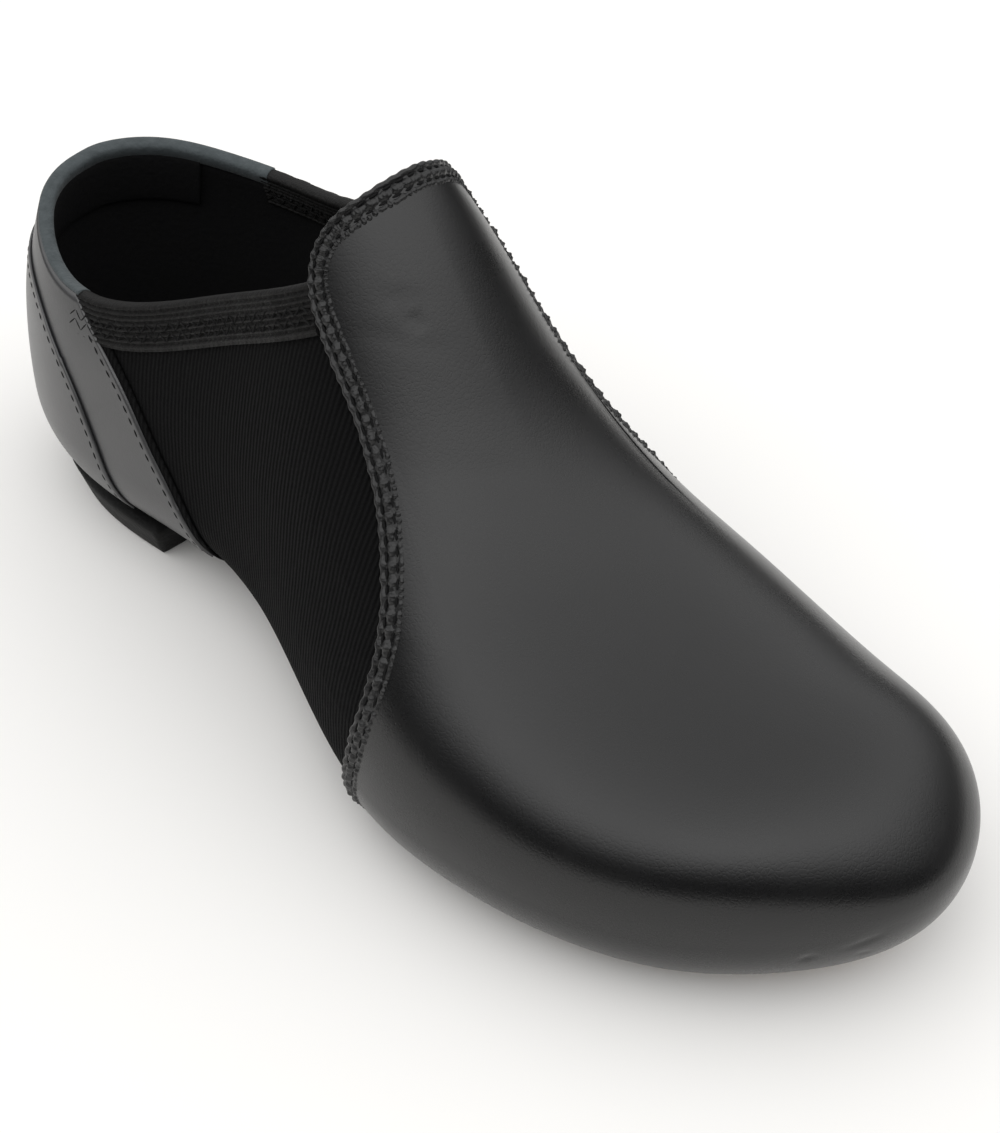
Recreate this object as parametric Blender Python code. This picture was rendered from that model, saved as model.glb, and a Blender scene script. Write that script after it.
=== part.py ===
"""A slip-on jazz shoe for the right foot, with elastic sides and a split sole.

The toe points along +X, the inner side of the foot is +Y, and the shoe stands on Z = 0. Sizes
are in metres. Every shaped piece is taken from one last: hollow forms of the last, each a little
further out, are cut in side view and in plan.
"""
from collections import namedtuple
import math

import bmesh
import bpy
import numpy as np

for item in list(bpy.data.objects):
    bpy.data.objects.remove(item, do_unlink=True)

# Main sizes of the last
LENGTH = 0.232
BALL_WIDTH = 0.090
INSTEP_HEIGHT = 0.105
BACK_HEIGHT = 0.068
TIP_SIDE = 0.0025

# Underside: heel level, arch and toe spring
HEEL_BLOCK_HEIGHT = 0.0080
PAD_THICKNESS = 0.0025
TOE_SPRING = 0.0040
ARCH_BACK_SHARE = 0.30
ARCH_FRONT_SHARE = 0.60
SPRING_START_SHARE = 0.84
UNDER_ROLL = 0.0115

# Walls and clearances
WALL = 0.0012
GAP = 0.0003
LEATHER = 0.0012
PATCH_LEATHER = 0.0009
EDGE_BAND = 0.0010
ELASTIC = 0.0010
INSOLE_THICKNESS = 0.0030

# Widths of the strips and margins
EDGE_BAND_WIDTH = 0.0065
ELASTIC_WIDTH = 0.0080
PAD_INSET = 0.0090
PAD_BACK_SHARE = 0.585
HEEL_INSET = 0.0045
HEEL_FRONT_SHARE = 0.235
HEEL_TAPER_SHARE = 0.92
SEAT_LEDGE = 0.0070
FOREFOOT_OPENING_SHARE = 0.62
HEEL_OPENING_SHARE = 0.21
CUT_PAST_SHARE = 0.10

# Mesh density
RIBS = 33
UPPER_ROWS = 9
ROLL_ROWS = 4
FLAT_ROWS = 2
REACH = BALL_WIDTH
OPENING_HALF = 0.021
SIDE_CLEAR = 0.002

# Sections along the last. near and far are shares of half the ball width, and so is wide, the
# height of the widest point above the underside. crown is a share of the instep height. lean
# tells how fast the side wall leans in, and fill below 1 makes the form fuller over the toes.
Section = namedtuple("Section", "along near far crown wide lean fill")
SECTIONS = (
    Section(along=0.00, near=0.00, far=0.00, crown=1.08, wide=0.36, lean=1.70, fill=1.00),
    Section(along=0.03, near=0.38, far=0.40, crown=1.08, wide=0.36, lean=1.70, fill=1.00),
    Section(along=0.15, near=0.65, far=0.76, crown=1.07, wide=0.36, lean=1.70, fill=1.00),
    Section(along=0.32, near=0.62, far=0.72, crown=1.05, wide=0.36, lean=1.45, fill=1.00),
    Section(along=0.44, near=0.725, far=0.725, crown=1.065, wide=0.34, lean=1.18, fill=1.00),
    Section(along=0.55, near=0.89, far=0.785, crown=0.825, wide=0.33, lean=1.22, fill=1.00),
    Section(along=0.63, near=1.005, far=0.84, crown=0.61, wide=0.31, lean=1.12, fill=0.95),
    Section(along=0.71, near=1.043, far=0.85, crown=0.475, wide=0.31, lean=0.92, fill=0.86),
    Section(along=0.86, near=0.83, far=0.73, crown=0.395, wide=0.31, lean=0.85, fill=0.74),
    Section(along=0.955, near=0.435, far=0.55, crown=0.375, wide=0.31, lean=0.82, fill=0.73),
    Section(along=1.00, near=0.00, far=0.00, crown=0.32, wide=0.31, lean=0.80, fill=0.73),
)

# Edges seen from the side. along is a share of the length and height of the instep height.
EdgePoint = namedtuple("EdgePoint", "along height")
VAMP_EDGE = (
    EdgePoint(along=0.585, height=-0.05),
    EdgePoint(along=0.590, height=0.08),
    EdgePoint(along=0.606, height=0.24),
    EdgePoint(along=0.608, height=0.38),
    EdgePoint(along=0.580, height=0.52),
    EdgePoint(along=0.532, height=0.66),
    EdgePoint(along=0.480, height=0.77),
    EdgePoint(along=0.450, height=0.84),
    EdgePoint(along=0.441, height=0.90),
    EdgePoint(along=0.450, height=0.96),
    EdgePoint(along=0.472, height=1.02),
    EdgePoint(along=0.500, height=1.30),
)
COUNTER_EDGE = (
    EdgePoint(along=0.290, height=-0.05),
    EdgePoint(along=0.287, height=0.11),
    EdgePoint(along=0.276, height=0.21),
    EdgePoint(along=0.260, height=0.31),
    EdgePoint(along=0.235, height=0.40),
    EdgePoint(along=0.190, height=0.485),
    EdgePoint(along=0.150, height=0.56),
    EdgePoint(along=0.125, height=0.70),
)
PATCH_EDGE = (
    EdgePoint(along=0.155, height=-0.05),
    EdgePoint(along=0.153, height=0.14),
    EdgePoint(along=0.146, height=0.25),
    EdgePoint(along=0.132, height=0.36),
    EdgePoint(along=0.105, height=0.43),
    EdgePoint(along=0.060, height=0.465),
    EdgePoint(along=-0.060, height=0.475),
)

# The collar on the near and the far side, as shares of the back height, with its rise towards
# the tongue as a share of what the instep height is more than the back height
CollarPoint = namedtuple("CollarPoint", "along near far rise")
COLLAR = (
    CollarPoint(along=-0.08, near=1.02, far=1.02, rise=0.0),
    CollarPoint(along=0.00, near=1.00, far=1.00, rise=0.0),
    CollarPoint(along=0.05, near=0.965, far=0.985, rise=0.0),
    CollarPoint(along=0.10, near=0.900, far=0.945, rise=0.0),
    CollarPoint(along=0.16, near=0.865, far=0.930, rise=0.0),
    CollarPoint(along=0.25, near=0.870, far=0.920, rise=0.12),
    CollarPoint(along=0.35, near=0.920, far=0.930, rise=0.35),
    CollarPoint(along=0.45, near=0.963, far=0.943, rise=0.62),
)


class Curve:
    """A smooth curve through rows of values, whose second derivative runs on through each row."""

    def __init__(self, knots, values, closed=False):
        self.knots = np.asarray(knots, float)
        self.values = np.asarray(values, float).reshape(len(knots), -1)
        steps = np.diff(self.knots)
        slopes = np.diff(self.values, axis=0) / steps[:, None]
        count = len(self.knots)
        matrix = np.zeros((count, count))
        right = np.zeros_like(self.values)
        for i in range(1, count - 1):
            matrix[i, i - 1:i + 2] = steps[i - 1], 2 * (steps[i - 1] + steps[i]), steps[i]
            right[i] = 6 * (slopes[i] - slopes[i - 1])
        if closed:
            matrix[0, [0, 1, -2]] = 2 * (steps[0] + steps[-1]), steps[0], steps[-1]
            right[0] = 6 * (slopes[0] - slopes[-1])
            matrix[-1, [0, -1]] = 1, -1
        else:
            matrix[0, 0] = 1
            matrix[-1, -1] = 1
        self.bends = np.linalg.solve(matrix, right)

    def __call__(self, places):
        places = np.asarray(places, float)
        last = len(self.knots) - 2
        row = np.clip(np.searchsorted(self.knots, places, side="right") - 1, 0, last)
        step = self.knots[row + 1] - self.knots[row]
        after = ((places - self.knots[row]) / step)[..., None]
        before = 1 - after
        square = (step ** 2 / 6)[..., None]
        straight = before * self.values[row] + after * self.values[row + 1]
        return (straight + (before ** 3 - before) * square * self.bends[row]
                + (after ** 3 - after) * square * self.bends[row + 1])


def column(name):
    """One column of the sections, as a smooth curve over the distance along the last."""
    return Curve([row.along * LENGTH for row in SECTIONS], [getattr(row, name) for row in SECTIONS])


CROWN = column("crown")
WIDE = column("wide")
LEAN = column("lean")
FILL = column("fill")
HEEL_LEVEL = HEEL_BLOCK_HEIGHT + GAP
BALL_LEVEL = PAD_THICKNESS + GAP


def outline_sides():
    """The outline in plan, as x and y rows of the near side and of the far side."""
    half = BALL_WIDTH / 2
    inner = SECTIONS[1:-1]
    points = [(0.0, 0.0)]
    points += [(row.along * LENGTH, -row.near * half) for row in inner]
    points += [(LENGTH, TIP_SIDE)]
    points += [(row.along * LENGTH, row.far * half) for row in reversed(inner)]
    points += [(0.0, 0.0)]
    points = np.array(points)
    chords = np.hypot(*np.diff(points, axis=0).T) ** 0.75
    knots = np.concatenate([[0.0], np.cumsum(chords)])
    loop = Curve(knots, points, closed=True)(np.linspace(0, knots[-1], 6001))
    back = np.argmin(loop[:3000, 0])
    tip = np.argmax(loop[:, 0])
    near = loop[back:tip + 1]
    far = loop[tip:][::-1]
    return near, far


NEAR_SIDE, FAR_SIDE = outline_sides()


def side_of(x, side):
    """How far the outline lies from the middle line at x, on the side -1 or +1."""
    near = np.interp(x, NEAR_SIDE[:, 0], NEAR_SIDE[:, 1])
    far = np.interp(x, FAR_SIDE[:, 0], FAR_SIDE[:, 1])
    return np.where(np.asarray(side) < 0, near, far)


def underside(x):
    """Height of the upper's underside: heel seat, arch, ball and toe spring."""
    share = np.asarray(x) / LENGTH
    fall = np.clip((share - ARCH_BACK_SHARE) / (ARCH_FRONT_SHARE - ARCH_BACK_SHARE), 0, 1)
    fall = fall * fall * (3 - 2 * fall)
    rise = np.clip((share - SPRING_START_SHARE) / (1 - SPRING_START_SHARE), 0, None)
    return HEEL_LEVEL + (BALL_LEVEL - HEEL_LEVEL) * fall + TOE_SPRING * rise ** 2


def spine(x):
    """Where the rib that starts at x on the outline meets the middle line."""
    heel_zone = 0.28 * LENGTH
    toe_zone = 0.40 * LENGTH
    back = np.clip(heel_zone - x, 0, None)
    front = np.clip(x - (LENGTH - toe_zone), 0, None)
    along = x + back ** 2 / (2 * heel_zone) - front ** 2 / (2 * toe_zone)
    across = 0.5 * (side_of(along, -1) + side_of(along, 1))
    return along, across


def last_surface(share, side, girth):
    """Points of the last. share runs from heel 0 to tip 1. girth runs from the ridge at 0 to the
    widest point at 1, the end of the rolled edge at 2 and the middle of the underside at 3."""
    share, side, girth = np.broadcast_arrays(share, side, girth)
    x = LENGTH * (1 - np.cos(np.pi * share)) / 2
    y = side_of(x, side)
    spine_x, spine_y = spine(x)
    reach = np.hypot(x - spine_x, y - spine_y)
    turn = np.clip(girth, 0, 1) * np.pi / 2
    roll = np.clip(girth - 1, 0, 1) * np.pi / 2
    flat = np.clip(girth - 2, 0, 1)
    rolled = np.minimum(UNDER_ROLL / reach, 0.9)
    out = np.sin(turn) ** LEAN(x)[..., 0]
    out = out - rolled * (1 - np.cos(roll))
    out = out * (1 - flat)
    px = spine_x + (x - spine_x) * out
    py = spine_y + (y - spine_y) * out
    wide = underside(x) + WIDE(x)[..., 0] * BALL_WIDTH / 2
    crown = CROWN(px)[..., 0] * INSTEP_HEIGHT
    above = wide + (crown - wide) * np.maximum(np.cos(turn), 0) ** FILL(x)[..., 0]
    below = wide + (underside(px) - wide) * np.sin(roll)
    pz = np.where(girth <= 1, above, below)
    return np.stack([px, py, pz], -1)


def base_form():
    """The closed last as a mesh, with its points and the normal at each of them."""
    girths = np.concatenate([
        np.linspace(0, 1, UPPER_ROWS, endpoint=False),
        1 + np.linspace(0, 1, ROLL_ROWS, endpoint=False),
        2 + np.linspace(0, 1, FLAT_ROWS + 1)])
    near = last_surface(np.linspace(0, 1, RIBS + 1)[:, None], -1, girths[None])
    far = last_surface(np.linspace(1, 0, RIBS + 1)[1:-1, None], 1, girths[None])
    ring = np.concatenate([near, far])
    mesh = bmesh.new()
    rows = [[mesh.verts.new(point) for point in rib] for rib in ring]
    for rib, following in zip(rows, rows[1:] + rows[:1]):
        for j in range(len(girths) - 1):
            mesh.faces.new((rib[j], following[j], following[j + 1], rib[j + 1]))
    bmesh.ops.remove_doubles(mesh, verts=mesh.verts, dist=0.0001)
    bmesh.ops.triangulate(mesh, faces=mesh.faces)
    bmesh.ops.recalc_face_normals(mesh, faces=mesh.faces)
    mesh.normal_update()
    return mesh


BASE = base_form()


def add_form(mesh, offset, facing_out=True):
    """Adds the last, grown by offset along its normals, to a mesh."""
    copies = {vert: mesh.verts.new(vert.co + vert.normal * offset) for vert in BASE.verts}
    for face in BASE.faces:
        corners = [copies[vert] for vert in face.verts]
        mesh.faces.new(corners if facing_out else reversed(corners))


def form_mesh(outer, inner=None):
    """A solid of the last, or a hollow one between two offsets."""
    mesh = bmesh.new()
    add_form(mesh, outer)
    if inner is not None:
        add_form(mesh, inner, facing_out=False)
    return mesh


def closed_loft(loops):
    """A closed solid through loops of points, capped at both ends."""
    mesh = bmesh.new()
    rings = [[mesh.verts.new(point) for point in loop] for loop in loops]
    for ring, following in zip(rings, rings[1:]):
        for i in range(len(ring)):
            k = (i + 1) % len(ring)
            mesh.faces.new((ring[i], ring[k], following[k], following[i]))
    mesh.faces.new(rings[0])
    mesh.faces.new(rings[-1])
    bmesh.ops.recalc_face_normals(mesh, faces=mesh.faces)
    if mesh.calc_volume(signed=True) < 0:
        bmesh.ops.reverse_faces(mesh, faces=mesh.faces)
    return mesh


def side_cutter(near, far=None):
    """A solid whose near and far ends follow two side views, drawn out past the last."""
    near = np.asarray(near)
    far = near if far is None else np.asarray(far)
    middle = (near + far) / 2
    swing = (far - near) / 2
    loops = []
    for y in (-REACH, -OPENING_HALF, OPENING_HALF, REACH):
        part = max(-1, min(1, y / OPENING_HALF))
        loops.append([(x, y, z) for x, z in middle + swing * part])
    return closed_loft(loops)


def plan_cutter(outline, low, high):
    """An upright solid with a given outline in plan."""
    return closed_loft([[(x, y, z) for x, y in outline] for z in (low, high)])


def slab(top):
    """All that lies under a height."""
    ends = (-REACH, LENGTH + REACH)
    outline = [(ends[0], -REACH), (ends[1], -REACH), (ends[1], REACH), (ends[0], REACH)]
    return plan_cutter(outline, -REACH, top)


def edge_curve(rows, steps, shift=0.0):
    """A side view edge as smooth x and z rows, moved along by shift."""
    heights = [row.height for row in rows]
    chords = np.hypot(np.diff([row.along for row in rows]), np.diff(heights) * INSTEP_HEIGHT / LENGTH)
    knots = np.concatenate([[0.0], np.cumsum(chords)])
    values = [(row.along * LENGTH + shift, row.height * INSTEP_HEIGHT) for row in rows]
    return Curve(knots, values)(np.linspace(0, knots[-1], steps))


def collar_curve(side, drop=0.0, steps=26):
    """The collar seen from one side, as x and z rows, lowered by drop."""
    above = INSTEP_HEIGHT - BACK_HEIGHT
    heights = [getattr(row, side) * BACK_HEIGHT + row.rise * above - drop for row in COLLAR]
    line = Curve([row.along * LENGTH for row in COLLAR], heights)
    places = np.linspace(COLLAR[0].along, COLLAR[-1].along, steps) * LENGTH
    return np.column_stack([places, line(places)[:, 0]])


def inset_outline(inset, back, front, steps):
    """The outline in plan, drawn in by inset between two shares of the length."""
    dense = last_surface(np.linspace(0, 1, 400)[:, None], np.array([[-1, 1]]), 1.0)[..., :2]
    loop = np.concatenate([dense[:, 0], dense[::-1, 1]])
    ahead = np.roll(loop, -3, axis=0) - np.roll(loop, 3, axis=0)
    ahead /= np.maximum(np.linalg.norm(ahead, axis=1), 1e-9)[:, None]
    loop = loop + inset * np.column_stack([-ahead[:, 1], ahead[:, 0]])
    kept = loop[(loop[:, 0] >= back * LENGTH) & (loop[:, 0] <= front * LENGTH)]
    order = np.argsort(np.arctan2(kept[:, 1] - kept[:, 1].mean(), kept[:, 0] - kept[:, 0].mean()))
    kept = kept[order]
    lengths = np.linalg.norm(np.roll(kept, -1, axis=0) - kept, axis=1)
    places = np.concatenate([[0.0], np.cumsum(lengths)])
    closed = np.concatenate([kept, kept[:1]])
    even = np.linspace(0, places[-1], steps, endpoint=False)
    return np.column_stack([np.interp(even, places, closed[:, 0]), np.interp(even, places, closed[:, 1])])


def material(name, colour, roughness, metallic=0.0):
    """A plain surface for one piece."""
    made = bpy.data.materials.new(name)
    made.use_nodes = True
    shader = made.node_tree.nodes["Principled BSDF"]
    shader.inputs["Base Color"].default_value = (*colour, 1.0)
    shader.inputs["Roughness"].default_value = roughness
    shader.inputs["Metallic"].default_value = metallic
    return made


def place(name, mesh, surface=None):
    """Puts a mesh into the scene as an object."""
    data = bpy.data.meshes.new(name)
    mesh.to_mesh(data)
    mesh.free()
    item = bpy.data.objects.new(name, data)
    bpy.context.collection.objects.link(item)
    if surface is not None:
        data.materials.append(surface)
    return item


def cut(item, steps):
    """Applies Boolean steps, each an operation and a cutter mesh, and removes the cutters."""
    cutters = []
    for operation, mesh in steps:
        cutter = place(item.name + "_cutter", mesh)
        cutter.display_type = "WIRE"
        cutter.hide_render = True
        step = item.modifiers.new(operation.lower(), "BOOLEAN")
        step.operation = operation
        step.solver = "EXACT"
        step.object = cutter
        cutters.append(cutter)
    graph = bpy.context.evaluated_depsgraph_get()
    data = bpy.data.meshes.new_from_object(item.evaluated_get(graph))
    item.modifiers.clear()
    item.data = data
    for cutter in cutters:
        bpy.data.objects.remove(cutter, do_unlink=True)
    return item


def finish(item):
    """Cleans a cut piece and shades it smooth."""
    mesh = bmesh.new()
    mesh.from_mesh(item.data)
    bmesh.ops.remove_doubles(mesh, verts=mesh.verts, dist=0.00002)
    bmesh.ops.dissolve_degenerate(mesh, edges=mesh.edges, dist=0.00002)
    bmesh.ops.triangulate(mesh, faces=mesh.faces)
    bmesh.ops.recalc_face_normals(mesh, faces=mesh.faces)
    mesh.to_mesh(item.data)
    mesh.free()
    item.data.polygons.foreach_set("use_smooth", [True] * len(item.data.polygons))
    return item


def opening_cutter():
    """What is taken away above the collar and behind the tongue."""
    edge = edge_curve(VAMP_EDGE, 60)
    tongue = edge[edge[:, 1] > collar_curve("near")[-1, 1]]
    top = [(tongue[-1, 0], 2 * INSTEP_HEIGHT), (-REACH, 2 * INSTEP_HEIGHT)]
    views = []
    for side in ("near", "far"):
        line = collar_curve(side)
        views.append(np.concatenate([line[line[:, 0] < tongue[0, 0] - SIDE_CLEAR], tongue, top]))
    count = min(len(view) for view in views)
    return side_cutter(views[0][:count], views[1][:count])


def ahead_of(rows):
    """What lies ahead of an edge seen from the side."""
    edge = edge_curve(rows, 40)
    front = [(LENGTH + REACH, edge[-1, 1]), (LENGTH + REACH, edge[0, 1])]
    return side_cutter(np.concatenate([edge, front]))


def behind(rows):
    """What lies behind an edge seen from the side."""
    edge = edge_curve(rows, 30)
    back = [(-REACH, edge[-1, 1]), (-REACH, edge[0, 1])]
    return side_cutter(np.concatenate([edge, back]))


def strip(rows, width):
    """What lies between an edge seen from the side and the same edge moved ahead by width."""
    edge = edge_curve(rows, 48)
    ahead = edge_curve(rows, 48, width)[::-1]
    return side_cutter(np.concatenate([edge, ahead]))


def edge_at(rows, heights):
    """Where an edge seen from the side lies along the shoe at given heights."""
    edge = edge_curve(rows, 200)
    return np.interp(heights, edge[:, 1], edge[:, 0])


def elastic_band_cutter(side):
    """What lies within the elastic's width under the collar, between the counter and the vamp."""
    lines = []
    for drop in (2 * GAP, ELASTIC_WIDTH):
        line = collar_curve(side, drop, 800)
        after = line[:, 0] > edge_at(COUNTER_EDGE, line[:, 1]) + GAP
        before = line[:, 0] < edge_at(VAMP_EDGE, line[:, 1]) - GAP
        kept = line[after & before]
        lines.append(kept[np.linspace(0, len(kept) - 1, 16).astype(int)])
    view = np.concatenate([lines[0], lines[1][::-1]])
    ends = (-REACH, -SIDE_CLEAR) if side == "near" else (SIDE_CLEAR, REACH)
    return closed_loft([[(x, y, z) for x, z in view] for y in ends])


def upper(surface):
    """The hollow shell of lining and elastic sides, open at the collar and twice underneath."""
    item = place("upper", form_mesh(0.0, -WALL), surface)
    forefoot = inset_outline(PAD_INSET + SEAT_LEDGE, FOREFOOT_OPENING_SHARE, 0.97, 48)
    heel = inset_outline(HEEL_INSET + SEAT_LEDGE, 0.0, HEEL_OPENING_SHARE, 32)
    cut(item, [
        ("DIFFERENCE", opening_cutter()),
        ("DIFFERENCE", plan_cutter(forefoot, -REACH, BALL_LEVEL + TOE_SPRING + 2 * WALL)),
        ("DIFFERENCE", plan_cutter(heel, -REACH, HEEL_LEVEL + 2 * WALL)),
    ])
    return finish(item)


def vamp(surface):
    """The leather front with its tongue, closed in round the pad underneath."""
    item = place("vamp", form_mesh(GAP + LEATHER, GAP), surface)
    pad = inset_outline(PAD_INSET - GAP, PAD_BACK_SHARE - CUT_PAST_SHARE, 1.0, 64)
    cut(item, [
        ("INTERSECT", ahead_of(VAMP_EDGE)),
        ("DIFFERENCE", plan_cutter(pad, -REACH, BALL_LEVEL + TOE_SPRING)),
    ])
    return finish(item)


def vamp_edge(surface):
    """The turned band along the vamp's edge, round the tongue and down both sides."""
    low = 2 * GAP + LEATHER
    item = place("vamp_edge", form_mesh(low + EDGE_BAND, low), surface)
    cut(item, [
        ("INTERSECT", strip(VAMP_EDGE, EDGE_BAND_WIDTH)),
        ("DIFFERENCE", slab(BALL_LEVEL + SIDE_CLEAR)),
    ])
    return finish(item)


def counter(surface):
    """The leather heel cover, closed in round the heel block underneath."""
    item = place("counter", form_mesh(GAP + LEATHER, GAP), surface)
    block = inset_outline(HEEL_INSET - GAP, 0.0, HEEL_FRONT_SHARE + CUT_PAST_SHARE, 48)
    cut(item, [
        ("INTERSECT", behind(COUNTER_EDGE)),
        ("DIFFERENCE", opening_cutter()),
        ("DIFFERENCE", plan_cutter(block, -REACH, HEEL_LEVEL)),
    ])
    return finish(item)


def heel_patch(surface):
    """The lower back piece over the counter."""
    low = 2 * GAP + LEATHER
    item = place("heel_patch", form_mesh(low + PATCH_LEATHER, low), surface)
    cut(item, [("INTERSECT", behind(PATCH_EDGE)), ("DIFFERENCE", slab(HEEL_LEVEL))])
    return finish(item)


def elastic_band(side, surface):
    """One elastic band along the top of a gusset."""
    item = place("elastic_" + side, form_mesh(GAP + ELASTIC, GAP), surface)
    cut(item, [("INTERSECT", elastic_band_cutter(side))])
    return finish(item)


def insole(surface):
    """The padded sock that lies along the inside of the shell."""
    level = WALL + GAP
    item = place("insole", form_mesh(-level), surface)
    places = np.linspace(-0.02, 1.02, 53) * LENGTH
    top = np.column_stack([places, underside(places) + level + INSOLE_THICKNESS])
    low = [(places[-1], -REACH), (places[0], -REACH)]
    cut(item, [("INTERSECT", side_cutter(np.concatenate([top, low])))])
    return finish(item)


def forefoot_sole(surface):
    """The thin pad under the ball and toes, bent up at the toe with the last."""
    outline = inset_outline(PAD_INSET, PAD_BACK_SHARE, 1.0, 60)
    middle = outline.mean(axis=0)
    mesh = bmesh.new()
    for low in (0.0, PAD_THICKNESS):
        rings = []
        for grow in (1.0, 0.72, 0.40):
            ring = middle + (outline - middle) * grow
            heights = underside(ring[:, 0]) - GAP - low
            rings.append([mesh.verts.new((x, y, z)) for (x, y), z in zip(ring, heights)])
        for ring, following in zip(rings, rings[1:]):
            for i in range(len(ring)):
                k = (i + 1) % len(ring)
                mesh.faces.new((ring[i], ring[k], following[k], following[i]))
        mesh.faces.new(rings[-1])
    mesh.verts.ensure_lookup_table()
    count = len(outline)
    below = 3 * count
    for i in range(count):
        k = (i + 1) % count
        mesh.faces.new([mesh.verts[j] for j in (i, k, below + k, below + i)])
    bmesh.ops.recalc_face_normals(mesh, faces=mesh.faces)
    return finish(place("forefoot_sole", mesh, surface))


def heel(surface):
    """The block under the heel, a little smaller at the floor."""
    outline = inset_outline(HEEL_INSET, 0.0, HEEL_FRONT_SHARE, 44)
    middle = outline.mean(axis=0)
    loops = []
    for z, grow in ((HEEL_BLOCK_HEIGHT, 1.0), (0.0, HEEL_TAPER_SHARE)):
        ring = middle + (outline - middle) * grow
        loops.append([(x, y, z) for x, y in ring])
    return finish(place("heel", closed_loft(loops), surface))


def centre(items):
    """Moves the whole shoe so that its box stands centred on the origin."""
    corners = []
    for item in items:
        points = np.array([vert.co for vert in item.data.vertices])
        corners += [points.min(axis=0), points.max(axis=0)]
    low = np.min(corners, axis=0)
    high = np.max(corners, axis=0)
    shift = np.array([-(low[0] + high[0]) / 2, -(low[1] + high[1]) / 2, -low[2]])
    for item in items:
        for vert in item.data.vertices:
            vert.co = np.array(vert.co) + shift


def build():
    """Makes every piece of the shoe."""
    leather = material("black_leather", (0.020, 0.020, 0.022), 0.42)
    counter_leather = material("black_counter_leather", (0.022, 0.022, 0.024), 0.45)
    patch_leather = material("black_patch_leather", (0.022, 0.022, 0.024), 0.45)
    band_leather = material("black_band_leather", (0.016, 0.016, 0.017), 0.50)
    knit = material("black_knit", (0.008, 0.008, 0.009), 0.90)
    elastic_near = material("black_elastic_near", (0.012, 0.012, 0.012), 0.85)
    elastic_far = material("black_elastic_far", (0.012, 0.012, 0.012), 0.85)
    lining = material("black_lining", (0.010, 0.010, 0.011), 0.90)
    suede = material("tan_suede", (0.300, 0.190, 0.110), 0.95)
    rubber = material("black_rubber", (0.010, 0.010, 0.010), 0.70)
    items = [
        upper(knit),
        vamp(leather),
        vamp_edge(band_leather),
        counter(counter_leather),
        heel_patch(patch_leather),
        elastic_band("near", elastic_near),
        elastic_band("far", elastic_far),
        insole(lining),
        forefoot_sole(suede),
        heel(rubber),
    ]
    centre(items)
    BASE.free()


build()
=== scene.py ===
from collections import namedtuple
import math

import bmesh
import bpy
import numpy as np
from mathutils import Matrix, Vector
from mathutils.bvhtree import BVHTree


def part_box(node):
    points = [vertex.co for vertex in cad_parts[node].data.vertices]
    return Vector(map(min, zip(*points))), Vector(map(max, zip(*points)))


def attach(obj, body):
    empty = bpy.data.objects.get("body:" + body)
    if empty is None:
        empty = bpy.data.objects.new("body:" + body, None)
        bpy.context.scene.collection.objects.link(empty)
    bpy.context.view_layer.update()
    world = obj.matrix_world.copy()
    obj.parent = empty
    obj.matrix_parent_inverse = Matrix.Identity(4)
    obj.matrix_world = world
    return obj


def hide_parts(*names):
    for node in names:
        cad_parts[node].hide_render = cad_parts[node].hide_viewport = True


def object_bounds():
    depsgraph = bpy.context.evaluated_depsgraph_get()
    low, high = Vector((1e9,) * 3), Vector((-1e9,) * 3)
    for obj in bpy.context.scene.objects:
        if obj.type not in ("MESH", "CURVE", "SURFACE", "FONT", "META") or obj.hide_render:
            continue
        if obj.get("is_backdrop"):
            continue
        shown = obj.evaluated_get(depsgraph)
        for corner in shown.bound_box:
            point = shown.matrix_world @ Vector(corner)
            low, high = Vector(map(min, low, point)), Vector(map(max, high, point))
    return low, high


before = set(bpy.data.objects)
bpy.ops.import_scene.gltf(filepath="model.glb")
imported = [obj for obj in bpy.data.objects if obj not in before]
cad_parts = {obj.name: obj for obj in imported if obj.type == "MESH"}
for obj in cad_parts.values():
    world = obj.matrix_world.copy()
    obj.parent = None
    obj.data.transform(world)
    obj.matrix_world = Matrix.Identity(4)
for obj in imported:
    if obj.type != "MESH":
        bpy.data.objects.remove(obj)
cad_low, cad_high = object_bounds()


# Lining: the textile lining of the whole shoe, cemented inside the leather and the knit and drawn
# over the last, which gives every piece of the upper its shape. It is open at the collar and
# covered by the sock underneath.
LENGTH = 0.232
BALL_WIDTH = 0.090
INSTEP_HEIGHT = 0.105
BACK_HEIGHT = 0.068
TIP_SIDE = 0.0025
HEEL_BLOCK_HEIGHT = 0.0080
PAD_THICKNESS = 0.0025
TOE_SPRING = 0.0040
ARCH_BACK_SHARE = 0.30
ARCH_FRONT_SHARE = 0.60
SPRING_START_SHARE = 0.84
HEEL_ZONE_SHARE = 0.28
TOE_ZONE_SHARE = 0.40
UNDER_ROLL = 0.0115
MIDLINE = 0.003
WALL = 0.0012
GAP = 0.0003
LEATHER = 0.0012

Section = namedtuple("Section", "along near far crown wide lean fill")
SECTIONS = tuple(Section(*row) for row in (
    (0.00, 0.00, 0.00, 1.08, 0.36, 1.70, 1.00),
    (0.03, 0.38, 0.40, 1.08, 0.36, 1.70, 1.00),
    (0.15, 0.65, 0.76, 1.07, 0.36, 1.70, 1.00),
    (0.32, 0.62, 0.72, 1.05, 0.36, 1.45, 1.00),
    (0.44, 0.725, 0.725, 1.065, 0.34, 1.18, 1.00),
    (0.55, 0.89, 0.785, 0.825, 0.33, 1.22, 1.00),
    (0.63, 1.005, 0.84, 0.61, 0.31, 1.12, 0.95),
    (0.71, 1.043, 0.85, 0.475, 0.31, 0.92, 0.86),
    (0.86, 0.83, 0.73, 0.395, 0.31, 0.85, 0.74),
    (0.955, 0.435, 0.55, 0.375, 0.31, 0.82, 0.73),
    (1.00, 0.00, 0.00, 0.32, 0.31, 0.80, 0.73)))
CollarPoint = namedtuple("CollarPoint", "along near far rise")
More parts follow.
